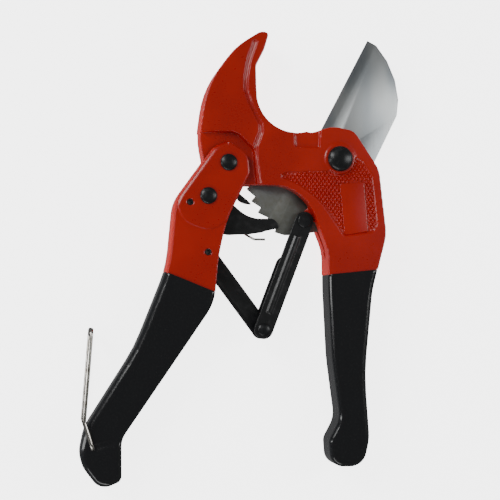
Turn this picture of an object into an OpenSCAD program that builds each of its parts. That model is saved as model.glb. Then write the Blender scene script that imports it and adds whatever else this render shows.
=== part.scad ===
// Ratchet cutter for plastic pipe, lying flat with its jaw open.
// Millimetres. The origin is the centre of the pipe seat on the blade's middle plane,
// +Z runs along the pipe and out of the front face, +Y points from the handles to the jaw.

/* [Jaw and blade] */
// Radius of the pipe seat
seat_r = 21; // [20.5:0.1:21.3]
// Thickness of the blade plate
blade_t = 2; // [1.6:0.1:2.2]
// Width of the slot that the blade swings in
slot_w = 2.8; // [2.6:0.1:3]
// Radius of the ratchet teeth's tips about the blade pivot
tooth_tip_r = 51; // [50.5:0.1:51.2]
// Radial depth of a ratchet tooth
tooth_depth = 2.8; // [2:0.1:3]
// Angle from one ratchet tooth to the next
tooth_pitch = 7.8; // [7.5:0.1:8]

/* [Body] */
// Thickness of the body casting
body_t = 18; // [17.6:0.2:19]
// Thickness of the tongue that carries the lever
tongue_t = 11.4; // [10.8:0.1:11.4]
// Depth of the framed panel on each face
panel_depth = 0.9; // [0.4:0.1:1.2]
// Depth of the groove along the hook
groove_depth = 1; // [0.5:0.1:1.4]
// Width of the groove along the hook
groove_w = 2; // [1.4:0.1:2.4]
// Thickness of the dipped coat on both handles
coat_t = 0.8; // [0.5:0.1:1.2]

/* [Lever] */
// Thickness of the lever casting below its ears
lever_t = 18; // [17.6:0.2:18.6]
// Thickness over the lever's raised ears
ear_t = 19.2; // [18.8:0.2:19.6]
// Width of the channel along the lever's inner side
channel_w = 12; // [12:0.1:12.4]

/* [Links] */
// Thickness of the stay link's plates
plate_t = 1.8; // [1.4:0.1:1.8]
// Width of the stay link
stay_w = 10; // [9:0.2:10.4]
// Thickness of the lever link
lever_link_t = 1.6; // [1.2:0.1:1.7]
// Width of the lever link
lever_link_w = 10; // [9:0.2:10.4]

/* [Fasteners and wire] */
// Radius of the blade bolt's domed head
bolt_head_r = 6.7; // [6:0.1:7]
// Radius of the lever and pawl rivets' domed heads
rivet_head_r = 4.4; // [4:0.1:4.6]
// Radius of the lever and pawl rivets' shanks
rivet_r = 2.6; // [2.2:0.1:2.8]
// Running clearance between a pin and its bore
run_gap = 0.08; // [0.04:0.01:0.1]
// Diameter of the locking bail's wire
bail_d = 2; // [1.6:0.1:2.4]
// Diameter of the spring wire
spring_d = 1.2; // [0.9:0.1:1.3]

/* [Hidden] */
$fn = 64;

// Pivot centres and joints at rest, with the lever and the blade fully open
blade_pivot = [23.6, -34.6];
lever_pivot = [-36, -37.6];
pawl_pivot = [-46.6, -55.2];
link_pivot = [-46.6, -84.5];
stay_pivot = [5.3, -67.4];
knee = [-16.6, -124.8];
spring_anchor = [-56.1, -58.6];
bail_pivot = [-105.4, -185.2];

// Layers across the thickness
blade_gap = 0.3;
pawl_z = [1.3, 2.7];
lug_z = [slot_w / 2, 2.8];
stay_z = 3;
stay_back_z = -5.6;
lever_link_z = -4;

// Slot and tooth layout
tooth_count = 8;
first_tooth = 174.5;
slot_tail_r = 52.5;
slot_jaw_r = 69;
bolt_r = 4;
roll_pin_r = 1.7;
knee_r = 2.2;
stay_rivet_r = 2.4;
// The lever link's bore is opened up, because its joint is the open one of the linkage
open_bore_r = 4.0;

// Body outline as corners [x, y, rounding radius], clockwise from the hook's tip. The corner at
// [-12, -12] lies inside the pipe seat's circle, so the seat's own cylinder shapes the edge there.
BODY = [
  [-14.2, 32.2, 2.6], [-16.8, 23, 16], [-21.4, 13.8, 4], [-21, 0, 4], [-12, -12, 1], [8, -21, 6],
  [20, -17.2, 14], [31.5, -19.4, 7], [45.2, -39.8, 14], [49.1, -74.5, 24], [41.4, -104, 50], [37, -148, 120],
  [39.4, -182, 24], [36, -196.6, 12], [18.5, -196.4, 13], [17.4, -182.5, 7], [23.4, -171.5, 14],
  [19.2, -140, 120], [17.4, -104, 80], [17.2, -83, 26], [4, -49.4, 38], [-29, -48.8, 4],
  [-36, -51.4, 8], [-47.6, -43.4, 9], [-51.4, -24, 40], [-47.6, 3, 50], [-32, 24, 60],
  [-19.4, 32, 3]
];
// Lever outline, clockwise from the top of the ear
LEVER = [
  [-36, -26.1, 0.5], [-25.6, -33, 8], [-24.6, -43, 4], [-36.6, -67, 60], [-41, -86, 80],
  [-43.2, -111, 26], [-90.8, -180.5, 12], [-90.6, -201.5, 4], [-101.5, -206, 14], [-113, -191, 16],
  [-109.6, -174.5, 24], [-84, -134, 90], [-67.4, -92, 60], [-64.2, -58, 22], [-43.4, -28.9, 8]
];
// Raised pad on each ear, as corners [x, y, rounding radius]
EAR_PAD = [
  [-36, -26.1, 0.5], [-43.4, -28.9, 8], [-63.2, -57.4, 3], [-60, -68.5, 14], [-45, -73.6, 20],
  [-35.6, -67, 2], [-24.6, -43, 4], [-25.6, -33, 8]
];
// Plain region of the body that the lever's ears turn over
EAR_RECESS = [
  [-56, -21.4, 0.5], [-31.5, -21.4, 8], [-22.4, -30, 6], [-19.6, -60, 0.5], [-56, -60, 0.5]
];
PANEL = [
  [-9.5, -44.4, 2], [-5, -42, 3], [17, -41, 2], [29, -41.4, 4], [31.6, -33, 1.6], [36.4, -36, 6],
  [41.4, -44, 6], [44.2, -69, 3], [41, -73.4, 3], [26, -75.6, 2], [14, -58, 26], [2, -49, 20]
];
GROOVE = [
  [-21.4, 27.6], [-25.2, 17], [-27, 6.5], [-26.6, 0.5], [-24.4, -5.8], [-18.6, -17.4],
  [-18.8, -21.5], [-21.6, -28.6], [-21.8, -33], [-19.6, -49.5]
];
BLADE_BACK = [
  [44.4, -35.2], [57.2, -9.4], [58.1, -0.8], [56.3, 10], [51.9, 20.4], [46, 28.4], [41.2, 31.2]
];
DRIVE_PAWL = [
  [-47, -47.8, 5], [-53.2, -52, 6], [-51.8, -60.2, 6], [-37.5, -75.4, 6], [-22, -74.4, 12],
  [-7.6, -71.2, 0.8], [-10.2, -66.2, 5], [-24, -66.4, 22], [-34, -58, 12], [-40, -48.4, 5]
];
HOLDING_PAWL = [
  [-41.4, -32.4, 5], [-41.6, -44, 5], [-34, -54.3, 5], [-27, -58.3, 8], [-22.4, -58.9, 0.3],
  [-24.6, -56.6, 3], [-29.8, -52.4, 5], [-30.4, -43, 5], [-30.4, -32.4, 5]
];
// Lower edges of the castings that the coat leaves bare
LEVER_DIP = [[-67.9, -95], [-42.5, -105.2]];
BODY_DIP = [[13.1, -96.2], [44.6, -92.9]];

// Points of an arc about c, from angle a0 to a1
function arc_points(c, r, a0, a1, n = 8) =
  [for (i = [0 : n]) c + r * [cos(a0 + (a1 - a0) * i / n), sin(a0 + (a1 - a0) * i / n)]];
// Shortest signed turn between two directions
function turn(a, b) = (b - a + 540) % 360 - 180;
// One corner of an outline, rounded to its radius or to what its sides leave room for
function corner(a, b, c, r) =
  let (
    u = (a - b) / norm(a - b), v = (c - b) / norm(c - b),
    half = acos(max(-1, min(1, u * v))) / 2,
    reach = min(r / tan(half), 0.48 * norm(a - b), 0.48 * norm(c - b)),
    radius = reach * tan(half),
    mid = (u + v) / norm(u + v),
    centre = b + mid * (reach / cos(half)),
    p = b + u * reach - centre, q = b + v * reach - centre,
    a0 = atan2(p[1], p[0]), sweep = turn(a0, atan2(q[1], q[0])),
    steps = max(2, ceil(abs(sweep) / 7))
  ) half > 89.5 ? [b] : arc_points(centre, radius, a0, a0 + sweep, steps);
function xy(p) = [p[0], p[1]];
// A whole outline with every corner rounded
function rounded(pts) =
  let (n = len(pts))
  [for (i = [0 : n - 1])
    each corner(xy(pts[(i + n - 1) % n]), xy(pts[i]), xy(pts[(i + 1) % n]), pts[i][2])];
function side(a, b) = let (d = (b - a) / norm(b - a)) [d[1], -d[0]];
// An outline moved inwards by d; the points run clockwise
function inset(pts, d) =
  let (n = len(pts))
  [for (i = [0 : n - 1])
    let (
      s = side(pts[(i + n - 1) % n], pts[i]), t = side(pts[i], pts[(i + 1) % n]),
      m = (s + t) / norm(s + t)
    ) pts[i] + m * d / max(0.5, m * s)];
// A strip of width w along a path
function strip(path, w) =
  let (
    n = len(path),
    m = [for (i = [0 : n - 1])
      let (
        s = side(path[max(0, i - 1)], path[max(1, i)]),
        t = side(path[min(i, n - 2)], path[min(i + 1, n - 1)])
      ) (s + t) / norm(s + t)]
  ) concat(
    [for (i = [0 : n - 1]) path[i] + m[i] * w / 2],
    [for (i = [n - 1 : -1 : 0]) path[i] - m[i] * w / 2]);
// The half plane on the jaw's side of a line, as a large outline
function above(line) =
  let (d = 150 * (line[1] - line[0]) / norm(line[1] - line[0]))
  [line[0] - d, line[1] + d, line[1] + d + [0, 300], line[0] - d + [0, 300]];

// An outline extruded about the middle plane
module slab(pts, t) {
  translate([0, 0, -t / 2]) linear_extrude(t) polygon(pts);
}
// An outline extruded from z0 to z1
module layer(pts, z0, z1) {
  translate([0, 0, z0]) linear_extrude(z1 - z0) polygon(pts);
}
module at(p) {
  translate([p[0], p[1], 0]) children();
}
// A cylinder along Z at p, from z0 to z1
module post(p, r, z0, z1) {
  translate([p[0], p[1], z0]) cylinder(r = r, h = z1 - z0);
}
// A shallow dome of base radius r and height h, standing on z = 0
module dome(r, h) {
  sphere_r = (r * r + h * h) / (2 * h);
  intersection() {
    translate([0, 0, h - sphere_r]) sphere(r = sphere_r);
    cylinder(r = r, h = h);
  }
}
// A flat bar from a to b with round ends
module bar(a, b, w, z0, z1) {
  angle = atan2(b[1] - a[1], b[0] - a[0]);
  layer(concat(arc_points(a, w / 2, angle + 270, angle + 90, 16),
    arc_points(b, w / 2, angle + 90, angle - 90, 16)), z0, z1);
}
// Unit vector along a path at point i
function tangent(path, i) =
  let (v = path[min(len(path) - 1, i + 1)] - path[max(0, i - 1)]) v / norm(v);
// Sideways unit vectors along a path, each carried on from the last so that the tube doesn't twist
function carried(path, i, u) =
  i == len(path) ? [] :
  let (t = tangent(path, i), v = u - (u * t) * t, w = v / norm(v)) concat([w], carried(path, i + 1, w));
// A round wire swept along a path; start is any direction across the first stretch
module tube(path, d, start, sides = 8) {
  n = len(path);
  across = carried(path, 0, start);
  points = [for (i = [0 : n - 1]) for (k = [0 : sides - 1])
    path[i] + d / 2 * (cos(360 * k / sides) * across[i]
      + sin(360 * k / sides) * cross(tangent(path, i), across[i]))];
  walls = [for (i = [0 : n - 2]) for (k = [0 : sides - 1])
    [i * sides + k, (i + 1) * sides + k, (i + 1) * sides + (k + 1) % sides, i * sides + (k + 1) % sides]];
  ends = [[for (k = [0 : sides - 1]) k], [for (k = [sides - 1 : -1 : 0]) (n - 1) * sides + k]];
  polyhedron(points, concat(walls, ends), 4);
}
// Points of a helix about p, from angle a0 to a1, rising from z0 by pitch each turn
function helix(p, r, a0, a1, z0, pitch, step = 24) =
  let (n = ceil(abs(a1 - a0) / step))
  [for (i = [0 : n]) let (a = a0 + (a1 - a0) * i / n)
    [p[0] + r * cos(a), p[1] + r * sin(a), z0 + pitch * abs(a - a0) / 360]];
// A path with each inner corner rounded to radius r
function bent(path, r) =
  let (n = len(path))
  [for (i = [0 : n - 1])
    each (i == 0 || i == n - 1) ? [path[i]] :
    let (
      u = (path[i - 1] - path[i]) / norm(path[i - 1] - path[i]),
      v = (path[i + 1] - path[i]) / norm(path[i + 1] - path[i]),
      half = acos(max(-1, min(1, u * v))) / 2,
      reach = min(r / tan(half), 0.45 * norm(path[i - 1] - path[i]), 0.45 * norm(path[i + 1] - path[i])),
      a = path[i] + u * reach, b = path[i] + v * reach
    ) [for (k = [0 : 4]) let (q = k / 4) (1 - q) * (1 - q) * a + 2 * q * (1 - q) * path[i] + q * q * b]];

module blade_slot() {
  post(blade_pivot, slot_tail_r, -slot_w / 2, slot_w / 2);
  intersection() {
    post(blade_pivot, slot_jaw_r, -slot_w / 2, slot_w / 2);
    translate([-100, -52, -slot_w]) cube([200, 150, 2 * slot_w]);
  }
}

// Cuts the children out of both faces of the body, down to depth
module both_faces(depth) {
  for (s = [0, 1]) mirror([0, 0, s])
    translate([0, 0, body_t / 2 - depth]) linear_extrude(depth + 1) children();
}

module body_casting() {
  full = rounded(BODY);
  color([0.62, 0.06, 0.03]) difference() {
    union() {
      intersection() {
        slab(full, body_t);
        slab(above(BODY_DIP), body_t + 2);
      }
      slab(inset(full, coat_t), body_t);
      // Raised ring round the blade bolt
      post(blade_pivot, 8, -body_t / 2 - 0.6, body_t / 2 + 0.6);
      // Small ear that carries the stay link
      bar(stay_pivot, stay_pivot + [6, 5.6], 7.6, lug_z[0], lug_z[1]);
    }
    blade_slot();
    post([0, 0], seat_r, -body_t, body_t);
    both_faces(body_t / 2 - tongue_t / 2) polygon(rounded(EAR_RECESS));
    difference() {
      both_faces(panel_depth) polygon(rounded(PANEL));
      post(blade_pivot, 8, -body_t, body_t);
    }
    both_faces(groove_depth) polygon(strip(GROOVE, groove_w));
    both_faces(1.2) polygon([[-1.2, -19], [-0.4, -29], [12.8, -29], [13.2, -17]]);
    // Pocket in the cheek for the stay link's head
    post(stay_pivot, 5.7, lug_z[1], 6.4);
    post(stay_pivot, stay_rivet_r, -body_t, body_t);
    post(blade_pivot, bolt_r, -body_t, body_t);
    post(lever_pivot, rivet_r, -body_t, body_t);
  }
}

// The dipped coat of a handle: outline, line where it starts, thickness of the casting inside
module coat(outline, dip, core_t) {
  difference() {
    slab(outline, core_t + 2 * coat_t);
    slab(above(dip), core_t + 2 * coat_t + 2);
    slab(inset(outline, coat_t), core_t);
  }
}

module body_grip() {
  color([0.02, 0.02, 0.022]) coat(rounded(BODY), BODY_DIP, body_t);
}

// Point p turned by a degrees about the point c
function turned_about(p, c, a) =
  c + [[cos(a), -sin(a)], [sin(a), cos(a)]] * (p - c);

// Point on the blade at polar angle a and radius r about the blade pivot
function polar(a, r) = blade_pivot + r * [cos(a), sin(a)];
function tooth_points() =
  [for (i = [0 : tooth_count - 1])
    each [polar(first_tooth + i * tooth_pitch - 1.5, tooth_tip_r - tooth_depth),
      polar(first_tooth + i * tooth_pitch, tooth_tip_r),
      polar(first_tooth + i * tooth_pitch + 0.9, tooth_tip_r - 0.2)]];

module blade() {
  outline = concat(
    [[41.2, 31.2], [12.6, -23.4], [-20, -27.2]],
    tooth_points(),
    [[-4.6, -74.8], [2, -74.6], [18, -72], [34, -60], [44, -46]],
    BLADE_BACK
  );
  color([0.72, 0.73, 0.73]) difference() {
    slab(outline, blade_t);
    post(blade_pivot, bolt_r + run_gap, -blade_t, blade_t);
  }
}

module blade_bolt() {
  top = body_t / 2 + 0.6;
  color([0.03, 0.03, 0.035]) {
    at(blade_pivot) translate([0, 0, top]) dome(bolt_head_r, 3.4);
    post(blade_pivot, bolt_r - 0.02, -top - 3.6, top + 0.5);
  }
}

module blade_nut() {
  top = body_t / 2 + 0.6;
  color([0.03, 0.03, 0.035]) at(blade_pivot) difference() {
    union() {
      translate([0, 0, -top - 3.2]) cylinder(r = 6.6, h = 3.2, $fn = 6);
      translate([0, 0, -top - 1]) cylinder(r = 6.9, h = 1);
    }
    translate([0, 0, -top - 5]) cylinder(r = bolt_r - 0.02, h = 10);
  }
}

module blade_washers() {
  color([0.6, 0.6, 0.62]) for (s = [0, 1]) mirror([0, 0, s]) difference() {
    post(blade_pivot, 9, blade_t / 2 + 0.05, slot_w / 2 - 0.05);
    post(blade_pivot, bolt_r + 0.05, 0, slot_w);
  }
}

// The hollow along the lever's inner side, where the pawl and the links fold away
module lever_channel() {
  hollow = [
    [-20, -20, 1], [-60, -20, 1], [-52, -40, 4], [-58.6, -56, 8], [-61, -66, 12], [-61.6, -92, 20],
    [-66, -112, 20], [-73.6, -131, 6], [-68.4, -141.5, 5], [-56, -140, 1], [-20, -110, 1]
  ];
  slab(rounded(hollow), channel_w);
}

module lever_casting() {
  full = rounded(LEVER);
  color([0.62, 0.06, 0.03]) difference() {
    union() {
      intersection() {
        slab(full, lever_t);
        slab(above(LEVER_DIP), lever_t + 2);
      }
      slab(inset(full, coat_t), lever_t);
      slab(rounded(EAR_PAD), ear_t);
    }
    lever_channel();
    post(lever_pivot, rivet_r + run_gap, -ear_t, ear_t);
    post(pawl_pivot, rivet_r, -ear_t, ear_t);
    post(spring_anchor, roll_pin_r, -ear_t, ear_t);
    post(link_pivot, roll_pin_r, -ear_t, ear_t);
    post(bail_pivot, 2.4, -ear_t, ear_t);
  }
}

module lever_grip() {
  color([0.02, 0.02, 0.022]) difference() {
    coat(rounded(LEVER), LEVER_DIP, lever_t);
    lever_channel();
    post(bail_pivot, 2.4, -ear_t, ear_t);
  }
}

// A rivet with a dome at each end; z1 is the underside of its front head
module domed_rivet(p, shank_r, head_r, z0, z1, head_h) {
  post(p, shank_r, z0 - 0.5, z1 + 0.5);
  at(p) {
    translate([0, 0, z1]) dome(head_r, head_h);
    translate([0, 0, z0]) mirror([0, 0, 1]) dome(head_r, head_h);
  }
}

module lever_rivet() {
  head_z = ear_t / 2 + 0.1;
  color([0.03, 0.03, 0.035]) domed_rivet(lever_pivot, rivet_r, rivet_head_r, -head_z, head_z, 1.8);
}

module pawl_rivet() {
  color([0.03, 0.03, 0.035])
    domed_rivet(pawl_pivot, rivet_r, rivet_head_r, -ear_t / 2, ear_t / 2, 1.8);
}

module drive_pawl() {
  web = [
    [-40, -73.6, 3], [-35.5, -66, 4], [-24, -70, 6], [-15.8, -71.6, 0.6], [-16.2, -73.4, 0.6],
    [-24, -74.6, 8], [-36, -75, 4]
  ];
  color([0.035, 0.035, 0.04]) difference() {
    union() {
      layer(rounded(DRIVE_PAWL), pawl_z[0], pawl_z[1]);
      layer(rounded(web), -1, pawl_z[1]);
      // Boss round the rivet
      post(pawl_pivot, 5.4, pawl_z[0], channel_w / 2 - 0.4);
    }
    post(pawl_pivot, rivet_r + run_gap, -10, 10);
  }
}

// Torsion spring that lifts the pawl; one leg hooks under the pawl, the other rests on its pin
module pawl_spring() {
  r = 4.2;
  z = -4.9;
  coil = helix(pawl_pivot, r, 90, 90 + 3 * 360 - 180, z, spring_d * 1.05);
  coil_end = coil[len(coil) - 1] + [0.8, -0.6, 0];
  legs = bent([coil_end, [-25.2, -74.6, -1.7], [-21, -77.2, 0.2], [-15.2, -77.2, 0.2]], 2);
  color([0.7, 0.66, 0.55]) tube(
    concat([[pawl_pivot[0] - 9.4, pawl_pivot[1] + 3.4, z], [pawl_pivot[0] - 3, pawl_pivot[1] + 4.1, z]],
      coil, legs), spring_d, [0, 0, 1]);
}

// The back of the pawl is relieved where the pawl rivet comes up to it with the lever shut
module holding_pawl() {
  color([0.035, 0.035, 0.04]) difference() {
    slab(rounded(HOLDING_PAWL), blade_t);
    post(lever_pivot, rivet_r + run_gap, -10, 10);
    for (a = [40, 42])
      post(turned_about(pawl_pivot, lever_pivot, a), rivet_r + 0.2, -10, 10);
  }
}

// A rolled spring pin across the lever
module roll_pin(p) {
  difference() {
    post(p, roll_pin_r, -lever_t / 2, lever_t / 2);
    post(p, roll_pin_r - 0.6, -lever_t, lever_t);
  }
}

module spring_anchor_pin() {
  color([0.12, 0.12, 0.13]) roll_pin(spring_anchor);
}

module link_pin() {
  color([0.12, 0.12, 0.13]) roll_pin(link_pivot);
}

module lever_link() {
  color([0.04, 0.04, 0.042]) difference() {
    union() {
      bar(link_pivot, knee, lever_link_w, lever_link_z, lever_link_z + lever_link_t);
      post(link_pivot, open_bore_r + 2.2, lever_link_z, lever_link_z + lever_link_t);
    }
    post(link_pivot, open_bore_r, -20, 20);
    post(knee, knee_r + run_gap, -20, 20);
  }
}

module stay_link() {
  v = stay_pivot - knee;
  length = norm(v);
  angle = atan2(v[1], v[0]);
  rib_from = 9;
  rib_to = length - 9;
  web_to = length - 25;
  back_t = 1.4;
  wall_y = 0.2 - stay_w / 2;
  color([0.035, 0.035, 0.04]) difference() {
    union() {
      bar(knee, stay_pivot, stay_w, stay_z, stay_z + plate_t);
      bar(knee, knee + v / length * web_to, stay_w, stay_back_z, stay_back_z + back_t);
      translate([knee[0], knee[1], 0]) rotate(angle) {
        // Pressed rib along the front plate
        translate([rib_from, 0.6, stay_z + plate_t]) intersection() {
          translate([0, 0, -1.6]) rotate([0, 90, 0]) cylinder(r = 2.4, h = rib_to - rib_from);
          translate([-1, -3, -1]) cube([length, 6, 2]);
        }
        // Side wall that joins the two plates, on the side away from the lever link
        translate([8.5, wall_y, stay_back_z + 0.4])
          cube([web_to - 8.5, plate_t, stay_z - stay_back_z + 0.4]);
      }
    }
    post(stay_pivot, stay_rivet_r + run_gap, stay_z - 1, 20);
    post(knee, knee_r, -20, 20);
  }
}

module knee_rivet() {
  color([0.03, 0.03, 0.035]) {
    post(knee, knee_r, stay_back_z, stay_z + plate_t);
    at(knee) translate([0, 0, stay_z + plate_t]) dome(3.3, 1);
  }
}

module stay_rivet() {
  color([0.05, 0.05, 0.055]) {
    post(stay_pivot, stay_rivet_r, slot_w / 2, stay_z + plate_t + 0.1);
    post(stay_pivot, 3.5, stay_z + plate_t + 0.1, stay_z + plate_t + 0.8);
  }
}

// Torsion spring round the link pin that opens the lever
module return_spring() {
  r = 3.4;
  z = 3.6;
  coil = helix(link_pivot, r, 180, 180 + 1.25 * 360, z, spring_d * 1.05);
  last = coil[len(coil) - 1];
  color([0.7, 0.66, 0.55]) tube(
    concat([[link_pivot[0] - 8.4, link_pivot[1] - 22, z], [link_pivot[0] - 4.4, link_pivot[1] - 5, z]],
      coil, [last + [-6, 0.4, 0.1], last + [-9, 1, 0.1]]), spring_d, [0, 0, 1]);
}

// The wire bail that holds both handles shut; its ends turn into the lever's bush
module lock_bail() {
  leg_z = lever_t / 2 + coat_t + bail_d / 2 + 0.4;
  bend = [-109.9, -171.2];
  top = [-106.4, -124.6];
  front = [
    [bail_pivot[0], bail_pivot[1], 4], [bail_pivot[0], bail_pivot[1], leg_z],
    [bend[0], bend[1], leg_z], [top[0], top[1], leg_z]
  ];
  back = [for (i = [3 : -1 : 0]) [front[i][0], front[i][1], -front[i][2]]];
  color([0.75, 0.74, 0.72]) tube(bent(concat(front, back), 3.4), bail_d, [1, 0, 0], 12);
}

// Short enough that the bail's wire is straight all the way through it
module bail_bush() {
  bush_end = 7.4;
  color([0.55, 0.55, 0.57]) difference() {
    post(bail_pivot, 2.4, -bush_end, bush_end);
    post(bail_pivot, bail_d / 2 + run_gap, -lever_t, lever_t);
  }
}

body_casting();
body_grip();
blade();
blade_bolt();
blade_nut();
blade_washers();
lever_casting();
lever_grip();
lever_rivet();
pawl_rivet();
drive_pawl();
pawl_spring();
holding_pawl();
spring_anchor_pin();
link_pin();
lever_link();
stay_link();
knee_rivet();
stay_rivet();
return_spring();
lock_bail();
bail_bush();
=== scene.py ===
"""Ratchet cutter for plastic pipe, lying open on a pale floor.

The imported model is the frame. Each sub-assembly below builds its finished pieces round it, in
millimetres, and hands them over in metres in the same frame: the origin is the centre of the pipe
seat, +Y points to the jaw and +Z comes out of the front face.
"""
import logging
import math
from contextlib import contextmanager
from dataclasses import dataclass, field
from enum import Enum
from typing import Callable, Iterator, Sequence

import bmesh
import bpy
from mathutils import Matrix, Vector


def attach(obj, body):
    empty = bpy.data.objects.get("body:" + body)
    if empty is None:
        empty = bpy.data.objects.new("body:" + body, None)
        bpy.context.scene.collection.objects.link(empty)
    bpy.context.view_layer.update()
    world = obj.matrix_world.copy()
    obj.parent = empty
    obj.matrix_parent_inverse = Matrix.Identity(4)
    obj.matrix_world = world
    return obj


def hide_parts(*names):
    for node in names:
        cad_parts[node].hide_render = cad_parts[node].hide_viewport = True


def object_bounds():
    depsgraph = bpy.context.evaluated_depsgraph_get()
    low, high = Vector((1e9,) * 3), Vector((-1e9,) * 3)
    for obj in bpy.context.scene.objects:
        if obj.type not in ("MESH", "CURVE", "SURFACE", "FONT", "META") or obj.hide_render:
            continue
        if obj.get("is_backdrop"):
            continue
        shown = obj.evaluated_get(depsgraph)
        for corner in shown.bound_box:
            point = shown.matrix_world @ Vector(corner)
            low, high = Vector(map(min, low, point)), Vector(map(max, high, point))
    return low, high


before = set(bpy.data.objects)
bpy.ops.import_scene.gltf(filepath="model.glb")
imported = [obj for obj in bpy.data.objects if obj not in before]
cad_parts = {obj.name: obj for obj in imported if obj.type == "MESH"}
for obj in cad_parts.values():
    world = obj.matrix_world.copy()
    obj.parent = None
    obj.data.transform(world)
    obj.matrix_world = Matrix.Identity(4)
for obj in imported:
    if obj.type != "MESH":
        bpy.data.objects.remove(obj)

LOG = logging.getLogger("pipe_cutter")
MM = 0.001
BEND_POINTS = 7
COIL_POINTS = 24
# Two places closer than this, in metres, are the same
TOUCH = 1e-6
# Half the length, the depth and half the height of a block that cuts a solid at a line
BLOCK_SIDE = 150
BLOCK_REACH = 300
BLOCK_HALF = 30.0
# How far below its coat's upper edge a casting ends, so that it can't show through the coat
HIDDEN_DROP = 4.0

Point = tuple[float, float]
Point3 = tuple[float, float, float]
Corner = tuple[float, float, float]
Colour = tuple[float, float, float]

# Pivots of the tool, in millimetres
BLADE_PIVOT: Point = (23.6, -34.6)
LEVER_PIVOT: Point = (-36.0, -37.6)
PAWL_PIVOT: Point = (-46.6, -55.2)
LINK_PIVOT: Point = (-46.6, -84.5)
STAY_PIVOT: Point = (5.3, -67.4)
KNEE: Point = (-16.6, -124.8)
SPRING_ANCHOR: Point = (-56.1, -58.6)
BAIL_PIVOT: Point = (-105.4, -185.2)

# Outlines as corners (x, y, rounding radius), clockwise
BODY: list[Corner] = [
    (-14.2, 32.2, 2.6), (-16.8, 23, 16), (-21.4, 13.8, 4), (-21, 0, 4), (-12, -12, 1), (8, -21, 6),
    (20, -17.2, 14), (31.5, -19.4, 7), (45.2, -39.8, 14), (49.1, -74.5, 24), (41.4, -104, 50),
    (37, -148, 120), (39.4, -182, 24), (36, -196.6, 12), (18.5, -196.4, 13), (17.4, -182.5, 7),
    (23.4, -171.5, 14), (19.2, -140, 120), (17.4, -104, 80), (17.2, -83, 26), (4, -49.4, 38),
    (-29, -48.8, 4), (-36, -51.4, 8), (-47.6, -43.4, 9), (-51.4, -24, 40), (-47.6, 3, 50),
    (-32, 24, 60), (-19.4, 32, 3),
]
LEVER: list[Corner] = [
    (-36, -26.1, 0.5), (-25.6, -33, 8), (-24.6, -43, 4), (-36.6, -67, 60), (-41, -86, 80),
    (-43.2, -111, 26), (-90.8, -180.5, 12), (-90.6, -201.5, 4), (-101.5, -206, 14), (-113, -191, 16),
    (-109.6, -174.5, 24), (-84, -134, 90), (-67.4, -92, 60), (-64.2, -58, 22), (-43.4, -28.9, 8),
]
CHANNEL: list[Corner] = [
    (-20, -20, 1), (-60, -20, 1), (-52, -40, 4), (-58.6, -56, 8), (-61, -66, 12), (-61.6, -92, 20),
    (-66, -112, 20), (-73.6, -131, 6), (-68.4, -141.5, 5), (-56, -140, 1), (-20, -110, 1),
]
PANEL: list[Corner] = [
    (-9.5, -44.4, 2), (-5, -42, 3), (17, -41, 2), (29, -41.4, 4), (31.6, -33, 1.6), (36.4, -36, 6),
    (41.4, -44, 6), (44.2, -69, 3), (41, -73.4, 3), (26, -75.6, 2), (14, -58, 26), (2, -49, 20),
]
# The lines where the dipped coats start
LEVER_DIP: tuple[Point, Point] = ((-67.9, -95), (-42.5, -105.2))
BODY_DIP: tuple[Point, Point] = ((13.1, -96.2), (44.6, -92.9))


class Side(Enum):
    """The two faces of the tool."""

    FRONT = 1
    BACK = -1


class Keep(Enum):
    """Which boolean is used when two solids are combined."""

    BOTH = "UNION"
    OUTSIDE = "DIFFERENCE"
    COMMON = "INTERSECT"


# ---------------------------------------------------------------- outlines


def arc_points(centre: Vector, radius: float, start: float, sweep: float, steps: int) -> list[Vector]:
    """Gives evenly spaced points of an arc.

    Args:
        centre: The arc's centre.
        radius: Its radius.
        start: The first direction, in radians.
        sweep: The signed turn to the last direction, in radians.
        steps: How many stretches the arc has.

    Returns:
        The points, both ends included.
    """
    turns = [start + sweep * i / steps for i in range(steps + 1)]
    return [centre + radius * Vector((math.cos(a), math.sin(a))) for a in turns]


def rounded(corners: Sequence[Corner], step: float = 6.0) -> list[Vector]:
    """Rounds every corner of an outline.

    Args:
        corners: The corners, each with its rounding radius.
        step: The turn between two points of an arc, in degrees.

    Returns:
        The outline's points, in the same order.
    """
    points: list[Vector] = []
    for i, (x, y, radius) in enumerate(corners):
        before = Vector(corners[i - 1][:2])
        here = Vector((x, y))
        after = Vector(corners[(i + 1) % len(corners)][:2])
        to_before = (before - here).normalized()
        to_after = (after - here).normalized()
        half = math.acos(max(-1.0, min(1.0, to_before.dot(to_after)))) / 2
        if half > math.radians(89.5):
            points.append(here)
            continue
        room = 0.48 * min((before - here).length, (after - here).length)
        reach = min(radius / math.tan(half), room)
        middle = (to_before + to_after).normalized()
        centre = here + middle * (reach / math.cos(half))
        first = here + to_before * reach - centre
        last = here + to_after * reach - centre
        start = math.atan2(first.y, first.x)
        sweep = (math.atan2(last.y, last.x) - start + math.pi) % math.tau - math.pi
        steps = max(2, math.ceil(abs(math.degrees(sweep)) / step))
        points += arc_points(centre, first.length, start, sweep, steps)
    return points


def inward(points: Sequence[Vector]) -> list[Vector]:
    """Gives the inward unit direction at each point of a clockwise outline."""
    result = []
    for i, here in enumerate(points):
        one = (here - points[i - 1]).normalized()
        two = (points[(i + 1) % len(points)] - here).normalized()
        across = one + two
        result.append(Vector((across.y, -across.x)).normalized())
    return result


def is_inside(point: Vector, outline: Sequence[Vector]) -> bool:
    """Says whether a point lies inside an outline."""
    crossings = 0
    for i, b in enumerate(outline):
        a = outline[i - 1]
        if (a.y > point.y) != (b.y > point.y):
            x = a.x + (point.y - a.y) / (b.y - a.y) * (b.x - a.x)
            crossings += x > point.x
    return crossings % 2 == 1


# ---------------------------------------------------------------- solids


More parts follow.
